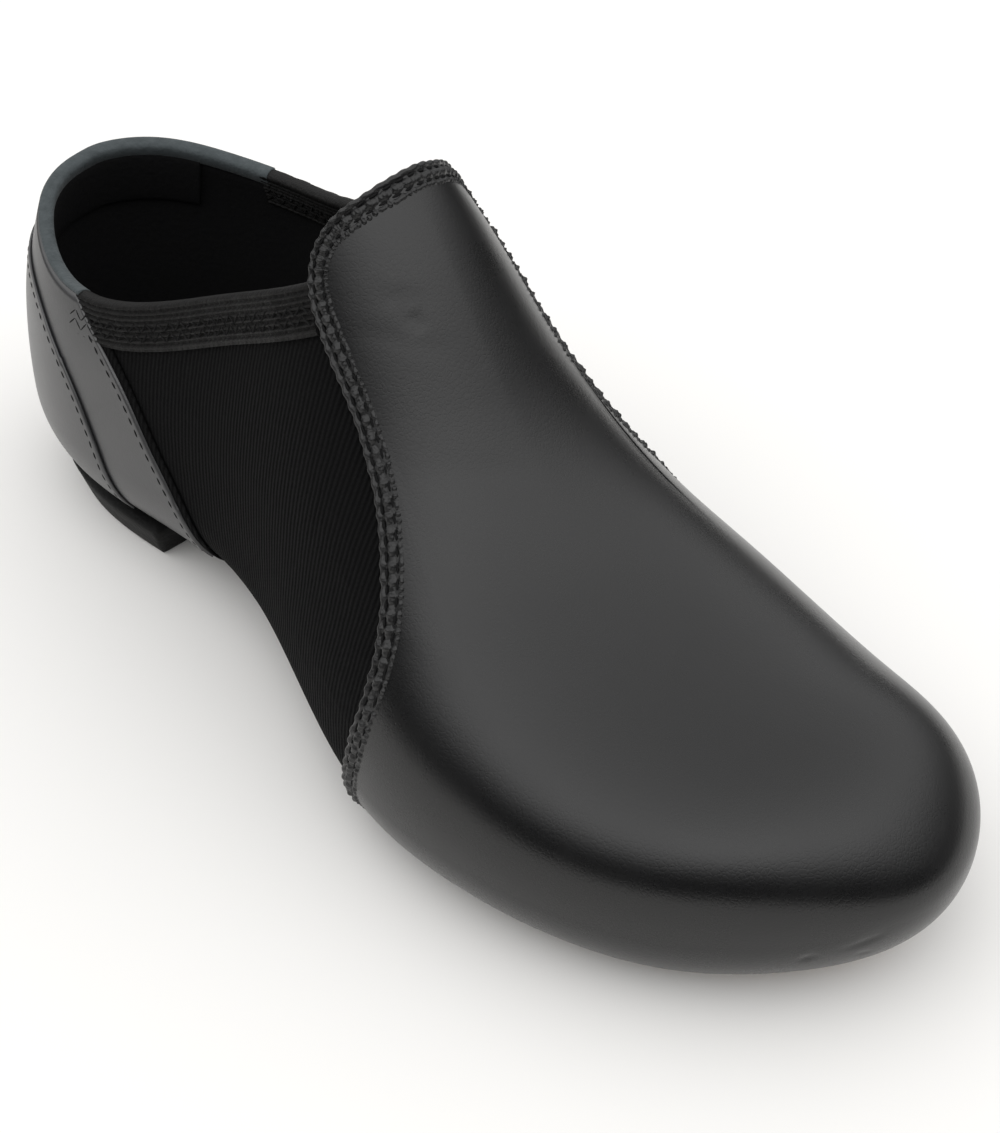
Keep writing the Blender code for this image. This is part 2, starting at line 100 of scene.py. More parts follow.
COLLAR = tuple(CollarPoint(*row) for row in (
    (-0.08, 1.02, 1.02, 0.0), (0.00, 1.00, 1.00, 0.0),
    (0.05, 0.965, 0.985, 0.0), (0.10, 0.900, 0.945, 0.0),
    (0.16, 0.865, 0.930, 0.0), (0.25, 0.870, 0.920, 0.12),
    (0.35, 0.920, 0.930, 0.35), (0.45, 0.963, 0.943, 0.62)))
EdgePoint = namedtuple("EdgePoint", "along height")
VAMP_EDGE = tuple(EdgePoint(*row) for row in (
    (0.585, -0.05), (0.590, 0.08), (0.606, 0.24), (0.608, 0.38),
    (0.580, 0.52), (0.532, 0.66), (0.480, 0.77), (0.450, 0.84),
    (0.441, 0.90), (0.450, 0.96), (0.472, 1.02), (0.500, 1.30)))


class Curve:
    """A smooth curve through rows of values, whose second derivative runs on through each row."""

    def __init__(self, knots, values, closed=False):
        self.knots = np.asarray(knots, float)
        self.values = np.asarray(values, float).reshape(len(knots), -1)
        steps = np.diff(self.knots)
        slopes = np.diff(self.values, axis=0) / steps[:, None]
        count = len(self.knots)
        matrix = np.zeros((count, count))
        right = np.zeros_like(self.values)
        for i in range(1, count - 1):
            matrix[i, i - 1:i + 2] = steps[i - 1], 2 * (steps[i - 1] + steps[i]), steps[i]
            right[i] = 6 * (slopes[i] - slopes[i - 1])
        if closed:
            matrix[0, [0, 1, -2]] = 2 * (steps[0] + steps[-1]), steps[0], steps[-1]
            right[0] = 6 * (slopes[0] - slopes[-1])
            matrix[-1, [0, -1]] = 1, -1
        else:
            matrix[0, 0] = 1
            matrix[-1, -1] = 1
        self.bends = np.linalg.solve(matrix, right)

    def __call__(self, places):
        places = np.asarray(places, float)
        last = len(self.knots) - 2
        row = np.clip(np.searchsorted(self.knots, places, side="right") - 1, 0, last)
        step = self.knots[row + 1] - self.knots[row]
        after = ((places - self.knots[row]) / step)[..., None]
        before = 1 - after
        square = (step ** 2 / 6)[..., None]
        straight = before * self.values[row] + after * self.values[row + 1]
        return (straight + (before ** 3 - before) * square * self.bends[row]
                + (after ** 3 - after) * square * self.bends[row + 1])


def column(name):
    """One column of the sections, as a smooth curve over the distance along the last."""
    return Curve([row.along * LENGTH for row in SECTIONS], [getattr(row, name) for row in SECTIONS])


CROWN = column("crown")
WIDE = column("wide")
LEAN = column("lean")
FILL = column("fill")
HEEL_LEVEL = HEEL_BLOCK_HEIGHT + GAP
BALL_LEVEL = PAD_THICKNESS + GAP


def outline_sides():
    """The outline in plan, as x and y rows of the near side and of the far side."""
    half = BALL_WIDTH / 2
    inner = SECTIONS[1:-1]
    points = [(0.0, 0.0)]
    points += [(row.along * LENGTH, -row.near * half) for row in inner]
    points += [(LENGTH, TIP_SIDE)]
    points += [(row.along * LENGTH, row.far * half) for row in reversed(inner)]
    points += [(0.0, 0.0)]
    points = np.array(points)
    chords = np.hypot(*np.diff(points, axis=0).T) ** 0.75
    knots = np.concatenate([[0.0], np.cumsum(chords)])
    loop = Curve(knots, points, closed=True)(np.linspace(0, knots[-1], 6001))
    back = np.argmin(loop[:3000, 0])
    tip = np.argmax(loop[:, 0])
    return loop[back:tip + 1], loop[tip:][::-1]


NEAR_SIDE, FAR_SIDE = outline_sides()
box_low, box_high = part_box("upper")
SHIFT = np.array([
    box_low[0],
    (box_low[1] + box_high[1] - NEAR_SIDE[:, 1].min() - FAR_SIDE[:, 1].max()) / 2,
    0.0])


def side_of(x, side):
    near = np.interp(x, NEAR_SIDE[:, 0], NEAR_SIDE[:, 1])
    far = np.interp(x, FAR_SIDE[:, 0], FAR_SIDE[:, 1])
    return np.where(np.asarray(side) < 0, near, far)


def underside(x):
    share = np.asarray(x) / LENGTH
    fall = np.clip((share - ARCH_BACK_SHARE) / (ARCH_FRONT_SHARE - ARCH_BACK_SHARE), 0, 1)
    fall = fall * fall * (3 - 2 * fall)
    rise = np.clip((share - SPRING_START_SHARE) / (1 - SPRING_START_SHARE), 0, None)
    return HEEL_LEVEL + (BALL_LEVEL - HEEL_LEVEL) * fall + TOE_SPRING * rise ** 2


def spine(x):
    """The ridge's place for each outline place: it stays clear of the heel's and the toe's ends."""
    heel_zone = HEEL_ZONE_SHARE * LENGTH
    toe_zone = TOE_ZONE_SHARE * LENGTH
    back = np.clip(heel_zone - x, 0, None)
    front = np.clip(x - (LENGTH - toe_zone), 0, None)
    along = x + back ** 2 / (2 * heel_zone) - front ** 2 / (2 * toe_zone)
    return along, 0.5 * (side_of(along, -1) + side_of(along, 1))


def on_last(turn, girth):
    """Points of the last. turn runs round the outline, from the heel at 0 along the near side to
    the tip at 1 and along the far side back to the heel at 2. girth runs from the ridge at 0 to
    the widest point at 1, the end of the rolled edge at 2 and the underside's middle at 3."""
    turn, girth = np.broadcast_arrays(np.mod(turn, 2.0), girth)
    side = np.where(turn <= 1, -1, 1)
    x = LENGTH * (1 - np.cos(np.pi * turn)) / 2
    y = side_of(x, side)
    spine_x, spine_y = spine(x)
    reach = np.hypot(x - spine_x, y - spine_y)
    lift = np.clip(girth, 0, 1) * np.pi / 2
    roll = np.clip(girth - 1, 0, 1) * np.pi / 2
    rolled = np.minimum(UNDER_ROLL / reach, 0.9)
    out = np.sin(lift) ** LEAN(x)[..., 0]
    out = (out - rolled * (1 - np.cos(roll))) * (1 - np.clip(girth - 2, 0, 1))
    px = spine_x + (x - spine_x) * out
    py = spine_y + (y - spine_y) * out
    wide = underside(x) + WIDE(x)[..., 0] * BALL_WIDTH / 2
    crown = CROWN(px)[..., 0] * INSTEP_HEIGHT
    above = wide + (crown - wide) * np.maximum(np.cos(lift), 0) ** FILL(x)[..., 0]
    below = wide + (underside(px) - wide) * np.sin(roll)
    return np.stack([px, py, np.where(girth <= 1, above, below)], -1)


def out_of_last(turn, girth):
    """The direction out of the last at a point of it, the same from both sides on the ridge."""
    turn, girth = np.broadcast_arrays(turn, girth)

    def across(turn, girth):
        along = on_last(turn + 0.004, girth) - on_last(turn - 0.004, girth)
        down = on_last(turn, girth + 0.02) - on_last(turn, girth - 0.02)
        normal = np.cross(down, along)
        return normal / np.linalg.norm(normal, axis=-1, keepdims=True)

    kept = np.clip(girth, 0.03, 2.97)
    share = np.clip(np.maximum(1 - girth / 0.06, (girth - 2.94) / 0.06), 0, 1)[..., None]
    normal = across(turn, kept) + share * across(2 - turn, kept)
    return normal / np.linalg.norm(normal, axis=-1, keepdims=True)


DRAWN_IN = 0.0008
DRAWN_AT_INSTEP = 0.0011
DRAWN_ON_FAR_SIDE = 0.0006
FULL_AT_WAIST = 0.0020


def eased(value):
    value = np.clip(value, 0, 1)
    return value * value * (3 - 2 * value)


def drawn_in(points):
    """How far the pieces are drawn in on the last: more over the instep, less at the waist."""
    x, y, z = points[..., 0] / LENGTH, points[..., 1], points[..., 2]
    waist = eased(1 - np.abs(x - 0.57) / 0.17)
    waist = eased((0.045 - z) / 0.02) * waist * eased((0.004 - y) / 0.02)
    far = eased(1 - np.abs(x - 0.55) / 0.3)
    far = eased((z - 0.015) / 0.04) * far * eased((y + 0.006) / 0.04)
    instep = eased((z - 0.045) / 0.03)
    return DRAWN_IN + DRAWN_AT_INSTEP * instep + DRAWN_ON_FAR_SIDE * far - FULL_AT_WAIST * waist


def laid(turn, girth, height):
    """Points at a height over the last, drawn in a little, in the shoe's frame."""
    points = on_last(turn, girth)
    rise = np.asarray(height) - drawn_in(points)
    return points + out_of_last(turn, girth) * rise[..., None] + SHIFT


def edge_line(rows, steps=110):
    """An edge seen from the side, as x and z rows."""
    heights = [row.height for row in rows]
    rises = np.diff(heights) * INSTEP_HEIGHT / LENGTH
    chords = np.hypot(np.diff([row.along for row in rows]), rises)
    knots = np.concatenate([[0.0], np.cumsum(chords)])
    values = [(row.along * LENGTH, row.height * INSTEP_HEIGHT) for row in rows]
    return Curve(knots, values)(np.linspace(0, knots[-1], steps))


def ahead_of(line, points):
    """How far points lie ahead of an edge, as seen from the side, in metres."""
    x, z = points[..., 0, None], points[..., 2, None]
    start, stretch = line[:-1], np.diff(line, axis=0)
    part = ((x - start[:, 0]) * stretch[:, 0] + (z - start[:, 1]) * stretch[:, 1])
    part = np.clip(part / (stretch ** 2).sum(axis=1), 0, 1)
    dx = x - start[:, 0] - part * stretch[:, 0]
    dz = z - start[:, 1] - part * stretch[:, 1]
    away = np.hypot(dx, dz)
    nearest = away.argmin(axis=-1)
    dx, dz, away = (np.take_along_axis(values, nearest[..., None], -1)[..., 0]
                    for values in (dx, dz, away))
    return np.sign(stretch[nearest, 1] * dx - stretch[nearest, 0] * dz) * away


def crossing(value, start, stop, steps=160):
    """The last place between start and stop where value rises through 0."""
    places = np.linspace(start, stop, steps)
    found = value(places)
    rises = np.nonzero((found[:-1] < 0) & (found[1:] >= 0))[0]
    if not len(rises):
        return start if found[0] >= 0 else stop
    i = rises[-1]
    return places[i] + (places[i + 1] - places[i]) * found[i] / (found[i] - found[i + 1])


def collar_height(x, side):
    """Height of the collar along the shoe, on the side -1 or +1."""
    above = INSTEP_HEIGHT - BACK_HEIGHT
    knots = [row.along * LENGTH for row in COLLAR]
    near = Curve(knots, [row.near * BACK_HEIGHT + row.rise * above for row in COLLAR])(x)[..., 0]
    far = Curve(knots, [row.far * BACK_HEIGHT + row.rise * above for row in COLLAR])(x)[..., 0]
    return np.where(np.asarray(side) < 0, near, far)


def side_at(turn):
    return np.where(np.mod(turn, 2.0) <= 1, -1, 1)


def under_collar(turn):
    """The girth at which each rib passes the collar's height."""
    girths = np.linspace(0, 1.3, 260)
    points = on_last(np.asarray(turn)[..., None], girths)
    over = points[..., 2] - collar_height(points[..., 0], side_at(turn)[..., None])
    below = (over <= 0).argmax(axis=-1)
    first = np.maximum(below - 1, 0)
    above = np.take_along_axis(over, first[..., None], -1)[..., 0]
    under = np.take_along_axis(over, below[..., None], -1)[..., 0]
    part = np.where(below > 0, above / np.where(above == under, 1, above - under), 0)
    return girths[first] + (girths[below] - girths[first]) * np.clip(part, 0, 1)


INNER_HEIGHT = 0.03


def sheet(name, columns, rows, place, merge=0.00015):
    """A sheet whose grid is laid in place by a function of two shares from 0 to 1."""
    mesh = bmesh.new()
    mesh.loops.layers.uv.new("UVMap")
    bmesh.ops.create_grid(mesh, x_segments=columns, y_segments=rows, size=0.5, calc_uvs=True)
    shares = np.array([vert.co for vert in mesh.verts])[:, :2] + 0.5
    points = place(np.clip(shares[:, 0], 0, 1), np.clip(shares[:, 1], 0, 1))
    for vert, point in zip(mesh.verts, points):
        vert.co = point
    bmesh.ops.remove_doubles(mesh, verts=mesh.verts, dist=merge)
    return name, mesh


def smooth_object(name, mesh, surface):
    """A mesh as a smooth object of its own, with its surface."""
    data = bpy.data.meshes.new(name)
    mesh.to_mesh(data)
    mesh.free()
    data.polygons.foreach_set("use_smooth", [True] * len(data.polygons))
    data.materials.append(surface)
    item = bpy.data.objects.new(name, data)
    bpy.context.collection.objects.link(item)
    return item


def piece(made, surface, wall=0.0):
    """A finished piece of the shoe from a sheet, facing out, with its thickness laid inwards."""
    name, mesh = made
    mesh.normal_update()
    middle = Vector(((cad_low[0] + cad_high[0]) / 2, 0.0, INNER_HEIGHT))
    facing = sum(face.normal.dot(face.calc_center_median() - middle) * face.calc_area()
                 for face in mesh.faces)
    if facing < 0:
        bmesh.ops.reverse_faces(mesh, faces=mesh.faces)
    item = smooth_object(name, mesh, surface)
    if wall:
        shell = item.modifiers.new("wall", "SOLIDIFY")
        shell.thickness = wall
        shell.offset = -1.0
        shell.use_even_offset = False
    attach(item, "root")
    return item


class Wire:
    """A value or colour on its way through a surface. Plain arithmetic on it adds the nodes."""

    def __init__(self, tree, socket):
        self.tree = tree
        self.socket = socket

    def maths(self, operation, *values):
        node = self.tree.nodes.new("ShaderNodeMath")
        node.operation = operation
        for place, value in zip(node.inputs, values):
            if isinstance(value, Wire):
                self.tree.links.new(value.socket, place)
            else:
                place.default_value = value
        return Wire(self.tree, node.outputs[0])

    def __add__(self, other):
        return self.maths("ADD", self, other)

    def __mul__(self, other):
        return self.maths("MULTIPLY", self, other)

    __radd__ = __add__
    __rmul__ = __mul__


class Nodes:
    """A node tree, with one method that adds any node."""

    def __init__(self, tree):
        self.tree = tree

    def add(self, kind, settings=None, output=0, **values):
        node = self.tree.nodes.new(kind)
        for key, value in (settings or {}).items():
            if key == "stops":
                ramp = node.color_ramp
                while len(ramp.elements) < len(value):
                    ramp.elements.new(0.5)
                for stop, (place, colour) in zip(ramp.elements, value):
                    stop.position = place
                    stop.color = (*colour, 1.0)
            else:
                setattr(node, key, value)
        for key, value in values.items():
            by_number = key[0] == "i" and key[1:].isdigit()
            socket = node.inputs[int(key[1:]) if by_number else key.replace("_", " ")]
            if isinstance(value, Wire):
                self.tree.links.new(value.socket, socket)
            else:
                socket.default_value = value
        return Wire(self.tree, node.outputs[output])


class Surface(Nodes):
    """A surface being mixed for one piece, placed by the piece's own coordinates."""

    def __init__(self, name, colour, roughness, **fixed):
        self.material = bpy.data.materials.new(name)
        self.material.use_nodes = True
        super().__init__(self.material.node_tree)
        self.shader = self.tree.nodes["Principled BSDF"]
        self.shader.inputs["Base Color"].default_value = (*colour, 1.0)
        self.shader.inputs["Roughness"].default_value = roughness
        for key, value in fixed.items():
            self.shader.inputs[key.replace("_", " ")].default_value = value
        self.place = self.add("ShaderNodeTexCoord", output="Object")

    def feed(self, name, wire):
        self.tree.links.new(wire.socket, self.shader.inputs[name])

    def noise(self, scale, detail=2.0, roughness=0.5, stretch=(1, 1, 1)):
        scales = tuple(scale * share for share in stretch)
        place = self.add("ShaderNodeMapping", i0=self.place, Scale=scales)
        return self.add("ShaderNodeTexNoise", Vector=place, Scale=1.0,
                        Detail=detail, Roughness=roughness)

    def stripes(self, across, pitch):
        """A soft wave of 0 to 1 over a distance in metres."""
        turns = across * (2 * math.pi / pitch)
        return turns.maths("SINE", turns) * 0.5 + 0.5

    def bump(self, height, distance):
        raised = self.add("ShaderNodeBump", Height=height, Distance=distance, Strength=1.0)
        self.feed("Normal", raised)

    def tint(self, share, first, second):
        """A colour between two, by a share from 0 to 1."""
        mixed = self.add("ShaderNodeMix", {"data_type": "RGBA"}, output=2,
                         i0=share, i6=(*first, 1.0), i7=(*second, 1.0))
        self.feed("Base Color", mixed)


def black_lining():
    made = Surface("black_lining", (0.004, 0.004, 0.004), 0.9, Specular_IOR_Level=0.12)
    weave = made.noise(900, 3) * 0.6 + made.noise(2600, 2) * 0.4
    made.bump(weave, 0.0003)
    made.tint(weave, (0.0060, 0.0060, 0.0063), (0.0130, 0.0130, 0.0135))
    return made.material


EDGE_BACK = 0.0030
LINING_SINK = 0.0002
vamp_line = edge_line(VAMP_EDGE)
lining_turns = np.linspace(0, 2, 301)
lining_top = under_collar(lining_turns)
for i, turn in enumerate(lining_turns):
    tongue = crossing(lambda girths: ahead_of(vamp_line, on_last(turn, girths)) - EDGE_BACK, 0, 1.3)
    over = on_last(turn, 0.0)[2] > collar_height(on_last(turn, 0.0)[0], side_at(turn))
    if ahead_of(vamp_line, on_last(turn, lining_top[i])) > EDGE_BACK and over:
        lining_top[i] = max(min(tongue, lining_top[i]), 0)


def lining_place(across, down):
    turn = across * 2.0
    top = np.interp(turn, lining_turns, lining_top)
    return laid(turn, top + (3.0 - top) * down, np.full_like(turn, -LINING_SINK))


lining = piece(sheet("lining", 300, 56, lining_place), black_lining(), wall=WALL - LINING_SINK)
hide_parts("upper")


# Knit sides: stretch knit between the counter and the vamp, on both sides and under the arch, cut
# with its ribs running down. Its edges are sewn under the leather.
COUNTER_EDGE = tuple(EdgePoint(*row) for row in (
    (0.318, -0.05), (0.318, 0.09), (0.309, 0.19), (0.270, 0.33),
    (0.238, 0.43), (0.211, 0.487), (0.178, 0.545), (0.142, 0.62),
    (0.118, 0.72)))
RIB_PITCH = 0.0011
FRONTMOST_TURN = 0.98
counter_line = edge_line(COUNTER_EDGE)


def black_knit():
    made = Surface("black_knit", (0.004, 0.004, 0.0042), 0.9, Specular_IOR_Level=0.10)
    length = made.add("ShaderNodeSeparateXYZ", i0=made.place)
    height = made.add("ShaderNodeSeparateXYZ", output=2, i0=made.place)
    drift = made.noise(120, 1) * 0.0006
    ribs = made.stripes(length + drift, RIB_PITCH)
    loops = made.stripes(height + drift, RIB_PITCH * 0.8)
    cloth = ribs * 0.7 + ribs * loops * 0.3 + made.noise(2500, 2) * 0.25
    made.bump(cloth, 0.00035)
    made.tint(cloth, (0.0018, 0.0018, 0.0019), (0.0055, 0.0055, 0.0058))
    return made.material


def reach_share(line, side, girth_of, margin, start=0.02):
    """The turn where a row passes a distance ahead of an edge, on one side of the shoe."""
    def value(places):
        turns = places if side < 0 else 2 - places
        return ahead_of(line, on_last(turns, girth_of(turns))) - margin

    share = crossing(value, start, FRONTMOST_TURN)
    return share if side < 0 else 2 - share


def edge_turns(line, rows, girth_of, margin_of, **range_from):
    """For each side, the turns where the rows of a piece reach its edge."""
    return {side: np.array([
        reach_share(line, side, lambda turns: girth_of(turns, row), margin_of(row), **range_from)
        for row in rows]) for side in (-1, 1)}


KNIT_ROWS = np.linspace(0, 1, 41)
KNIT_FRONT_SHARE = 0.625
KNIT_FRONT = math.acos(1 - 2 * KNIT_FRONT_SHARE) / math.pi
KNIT_RISE = 0.0002
KNIT_THICKNESS = 0.0004


def knit_girth(turns, row):
    top = under_collar(turns)
    return top + (3.0 - top) * row


def knit_margin(row):
    """How far a row runs on under the counter, more towards the underside."""
    return -0.003 - 0.013 * max(row - 0.5, 0) * 2


knit_backs = edge_turns(counter_line, KNIT_ROWS, knit_girth, knit_margin)


def knit_place(along, down):
    side = np.where(down < 0.5, -1, 1)
    row = 1 - np.abs(2 * down - 1)
    turn = np.empty_like(along)
    for which in (-1, 1):
        mask = side == which
        first = np.interp(row[mask], KNIT_ROWS, knit_backs[which])
        final = KNIT_FRONT if which < 0 else 2 - KNIT_FRONT
        turn[mask] = first + (final - first) * along[mask]
    return laid(turn, knit_girth(turn, row), KNIT_RISE)


knit = piece(sheet("knit_sides", 110, 121, knit_place), black_knit(), wall=KNIT_THICKNESS)
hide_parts("upper")


# Counter: smooth black leather round the heel, skived and turned at its front edge, stitched to
# the knit and drawn in under the heel.
COUNTER_BOTTOM = 1.56


def smooth_leather(name, grain=1.0, roughness=0.28, shine=0.5, painted_reflection_gain=1.0):
    made = Surface(name, (0.008, 0.008, 0.0085), roughness, Specular_IOR_Level=shine, IOR=1.5)
    cells = made.add("ShaderNodeTexVoronoi", {"feature": "DISTANCE_TO_EDGE"},
                     Vector=made.place, Scale=1250.0)
    cells = cells.maths("MINIMUM", cells * 6.0, 1.0)
    pores = made.noise(1700, 3)
    waves = made.noise(60, 2)
    height = cells * 0.35 + pores * 0.5 + made.noise(420, 3) * 0.8
    made.bump(height, 0.00002 * grain)
    made.feed("Roughness", waves * 0.10 + pores * 0.06 + (roughness - 0.08))
    # The gain scales this random tone of the leather. Above 1 it is painted reflection: a lighter
    # copy of the same black leather, standing in for light that the piece catches.
    made.tint(made.noise(240, 3), [painted_reflection_gain * value for value in (0.0028, 0.0028, 0.0030)],
              [painted_reflection_gain * value for value in (0.0046, 0.0046, 0.0050)])
    return made.material


def counter_girth(turns, row):
    top = under_collar(turns)
    return top + (COUNTER_BOTTOM - top) * row


COUNTER_ROWS = np.linspace(0, 1, 41)
counter_ends = edge_turns(counter_line, COUNTER_ROWS, counter_girth, lambda row: 0.0)


def round_heel(ends, rows, girth_of, height):
    """Lays a piece from its near front edge round the heel to its far one."""
    def place(along, down):
        near = np.interp(down, rows, ends[-1])
        far = 2 - np.interp(down, rows, ends[1])
        turn = np.where(along < 0.5, near * (1 - 2 * along), -far * (2 * along - 1))
        return laid(turn, girth_of(turn, down), np.full_like(turn, height))
    return place


# The counter's leather colour is painted five times lighter than the vamp's: painted reflection of
# the bright light falling on the heel from the left and behind.
counter = piece(
    sheet("counter_leather", 240, 60,
          round_heel(counter_ends, COUNTER_ROWS, counter_girth, GAP + LEATHER)),
    smooth_leather("counter_leather_black_painted_reflection", shine=0.95, roughness=0.38, painted_reflection_gain=5.0), wall=LEATHER)
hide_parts("counter")


# Heel patch: the lower back piece of the same leather, laid over the counter and stitched along
# its edge.
PATCH_EDGE = tuple(EdgePoint(*row) for row in (
    (0.214, -0.05), (0.214, 0.10), (0.208, 0.20), (0.193, 0.295),
    (0.172, 0.371), (0.140, 0.439), (0.110, 0.488), (0.060, 0.528),
    (-0.060, 0.545)))
PATCH_LEATHER = 0.0006
PATCH_TOP_SHARE = 0.5435
patch_line = edge_line(PATCH_EDGE)


def patch_girth(turns, row):
    girths = np.linspace(0, 1.3, 200)
    heights = on_last(np.asarray(turns)[..., None], girths)[..., 2]
    top = girths[(heights <= PATCH_TOP_SHARE * INSTEP_HEIGHT).argmax(axis=-1)]
    return top + (COUNTER_BOTTOM - top) * np.asarray(row) ** 1.6


PATCH_ROWS = np.linspace(0, 1, 60)
patch_ends = edge_turns(patch_line, PATCH_ROWS, patch_girth, lambda row: 0.0, start=0.0)
# The patch's leather colour is painted five times lighter in the same way: painted reflection of
# the light on the heel.
patch = piece(
    sheet("heel_patch_leather", 160, 90,
          round_heel(patch_ends, PATCH_ROWS, patch_girth, GAP + LEATHER + PATCH_LEATHER)),
    smooth_leather("patch_leather_black_painted_reflection", shine=0.95, roughness=0.36, painted_reflection_gain=5.0),
    wall=PATCH_LEATHER)
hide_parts("heel_patch")


# Vamp: one piece of smooth black leather with its tongue, drawn over the last and cemented in
# round the forefoot pad.
VAMP_BOTTOM = 1.844
VAMP_MARGIN = 0.0028
VAMP_ROWS = np.concatenate([np.linspace(0, 0.2, 12, endpoint=False), np.linspace(0.2, 1, 46)])


def vamp_girth(turns, row):
    return np.full(np.shape(turns), VAMP_BOTTOM * row)


vamp_ends = edge_turns(vamp_line, VAMP_ROWS, vamp_girth, lambda row: VAMP_MARGIN, start=0.35)

Crease = namedtuple("Crease", "start end depth width")
VAMP_CREASES = tuple(Crease(*row) for row in (
    ((0.0060, -0.0093, 0.0868), (0.0104, -0.0060, 0.0866), 0.00030, 0.0008),
    ((0.0018, -0.0145, 0.0850), (0.0135, -0.0050, 0.0820), 0.00014, 0.0016),
    ((0.0025, -0.0108, 0.0898), (0.0085, -0.0040, 0.0895), 0.00012, 0.0013),
    ((0.0150, -0.0190, 0.0640), (0.0330, -0.0020, 0.0640), 0.00025, 0.0040),
    ((0.0260, -0.0300, 0.0430), (0.0480, 0.0000, 0.0490), 0.00030, 0.0055),
    ((0.0310, 0.0240, 0.0450), (0.0440, 0.0060, 0.0520), 0.00020, 0.0045),
    ((0.1096, -0.0110, 0.0172), (0.1142, -0.0052, 0.0196), 0.00022, 0.0009),
    ((0.1078, -0.0142, 0.0166), (0.1060, -0.0163, 0.0148), 0.00022, 0.0009),
    ((0.1120, -0.0086, 0.0150), (0.1135, -0.0060, 0.0140), 0.00018, 0.0008)))


def creased(points):
    """How deep the vamp's creases are at some points: soft troughs that fade at their ends."""
    deep = np.zeros(points.shape[:-1])
    for row in VAMP_CREASES:
        start, end = np.array(row.start), np.array(row.end)
        run = end - start
        part = ((points - start) @ run) / (run @ run)
        away = np.linalg.norm(points - start - np.clip(part, 0, 1)[..., None] * run, axis=-1)
        fade = eased(1 - np.abs(np.clip(part, -0.2, 1.2) - 0.5) / 0.7)
        deep += row.depth * fade * np.exp(-(away / row.width) ** 2)
    return deep


def vamp_place(across, down):
    near = np.interp(down, VAMP_ROWS, vamp_ends[-1])
    far = np.interp(down, VAMP_ROWS, vamp_ends[1])
    turn = np.where(across < 0.5, near + (1 - near) * 2 * across,
                    1 + (far - 1) * (2 * across - 1))
    flat = laid(turn, VAMP_BOTTOM * down, np.full_like(turn, GAP + LEATHER))
    return laid(turn, VAMP_BOTTOM * down, GAP + LEATHER - creased(flat))


vamp = piece(sheet("vamp_leather", 400, 116, vamp_place),
             smooth_leather("vamp_leather_black"), wall=LEATHER)
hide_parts("vamp")


# Vamp band: a narrow band of the same leather, turned over the vamp's edge and sewn down with two
# rows of thread, which draw it into small puckers. It runs up one side, over the tongue and down
# the other side.
STITCH_PITCH = 0.0026
STITCH_SHARE = 0.72
BAND_ROWS = (0.0030, 0.0050)
BAND_STITCH_HEIGHT = 0.00150
BAND_LOWEST = 0.0034
# Profiles are rows of a place away from a line and a height over the last.
BAND_PROFILE = (
    (0.0024, 0.0004), (0.0019, 0.0005), (0.0016, 0.0010), (0.0018, 0.0016), (0.0024, 0.0019),
    (0.0030, 0.0014), (0.0036, 0.0019), (0.0044, 0.0019), (0.0050, 0.0014), (0.0056, 0.0018),
    (0.0062, 0.0016), (0.0064, 0.0010), (0.0042, 0.0006))
Track = namedtuple("Track", "lengths points outs sides")

grid_turns = np.linspace(0, 2, 721)
grid_girths = np.linspace(0, 3, 181)
grid_points = on_last(grid_turns[:, None], grid_girths[None, :])
grid_outs = out_of_last(grid_turns[:, None], grid_girths[None, :])
corners = np.arange(grid_points[..., 0].size).reshape(grid_points.shape[:2])
quad = corners[:-1, :-1], corners[1:, :-1], corners[1:, 1:], corners[:-1, 1:]
grid_faces = np.concatenate([
    np.stack([quad[i] for i in three], -1).reshape(-1, 3) for three in ((0, 1, 2), (0, 2, 3))])
last_tree = BVHTree.FromPolygons(grid_points.reshape(-1, 3).tolist(), grid_faces.tolist())


ROUNDING = 0.65


def feet(points):
    """The nearest places on the last to some points, and the directions out of it there. The
    places are rounded off between the corners of the grid."""
    flat = points.reshape(-1, 3)
    found = [last_tree.find_nearest(Vector(p)) for p in flat]
    place = np.array([f[0] for f in found])
    three = grid_faces[[f[2] for f in found]]
    corner = grid_points.reshape(-1, 3)[three]
    out = grid_outs.reshape(-1, 3)[three]
    e1, e2, e3 = corner[:, 1] - corner[:, 0], corner[:, 2] - corner[:, 0], place - corner[:, 0]
    d11, d22, d12, d31, d32 = (
        (p * q).sum(-1) for p, q in ((e1, e1), (e2, e2), (e1, e2), (e3, e1), (e3, e2)))
    whole = np.maximum(d11 * d22 - d12 ** 2, 1e-30)
    w1 = np.clip((d22 * d31 - d12 * d32) / whole, 0, 1)
    w2 = np.clip((d11 * d32 - d12 * d31) / whole, 0, 1)
    share = np.stack([np.clip(1 - w1 - w2, 0, 1), w1, w2], -1)[..., None]
    normal = (out * share).sum(1)
    normal /= np.linalg.norm(normal, axis=-1, keepdims=True)
    above = place[:, None] - out * ((place[:, None] - corner) * out).sum(-1, keepdims=True)
    place = (1 - ROUNDING) * place + ROUNDING * (above * share).sum(1)
    return place.reshape(points.shape), normal.reshape(points.shape)


def smooth_run(values, times):
    for _ in range(times):
        values[1:-1] = 0.25 * values[:-2] + 0.5 * values[1:-1] + 0.25 * values[2:]
    return values


def ahead_on_grid(line):
    """How far the grid's points lie ahead of an edge, worked out in parts to spare memory."""
    return np.concatenate([ahead_of(line, rows) for rows in np.array_split(grid_points, 24)])


